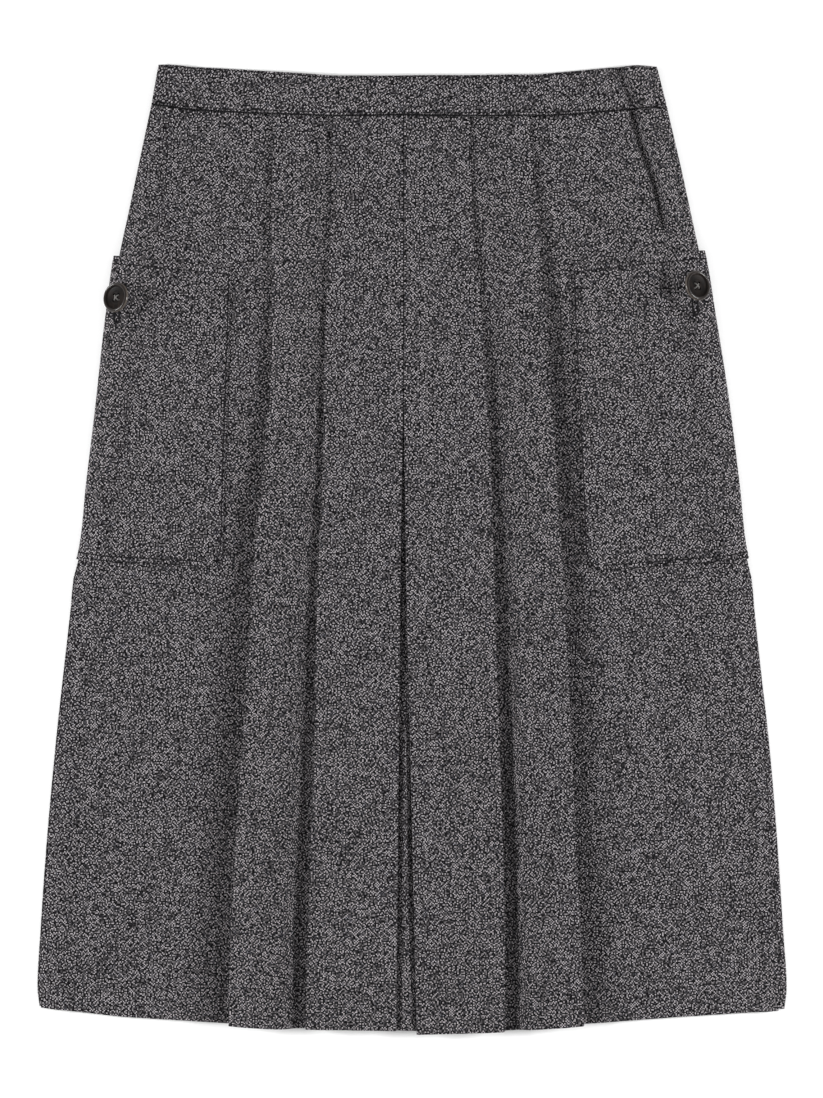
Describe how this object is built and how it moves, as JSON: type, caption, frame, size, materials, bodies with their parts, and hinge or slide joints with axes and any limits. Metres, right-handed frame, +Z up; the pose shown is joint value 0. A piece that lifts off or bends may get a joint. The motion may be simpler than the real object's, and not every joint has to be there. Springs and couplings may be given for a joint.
{
  "type": "pleated skirt",
  "caption": "Knee-length wool skirt laid out flat, with a waistband, knife pleats beside an inverted centre pleat, and patch pockets buttoned over the sides.",
  "frame": {"origin": "middle of the laid-out skirt's outline, on the surface that it lies on", "axes": "+Y from hem to waist, +X towards the picture's right, +Z up from the surface, out of the front"},
  "size_m": [0.5558, 0.7174, 0.0241],
  "materials": {
    "wool_cloth": "coarse wool woven from charcoal and pale grey yarns, matt, slightly hairy",
    "horn": "dark brown horn, polished, with fine turned rings",
    "zip_tape": "fine woven tape, matt",
    "zip_metal": "darkened metal, satin"
  },
  "bodies": {
    "root": {"waistband": "wool_cloth", "front_left": "wool_cloth", "front_right": "wool_cloth", "centre_underlay": "wool_cloth", "back_left": "wool_cloth", "back_right": "wool_cloth", "pocket_left": "wool_cloth", "pocket_right": "wool_cloth", "button_left": "horn", "button_right": "horn", "back_zip": "zip_tape", "zip_slider": "zip_metal"}
  },
  "joints": []
}
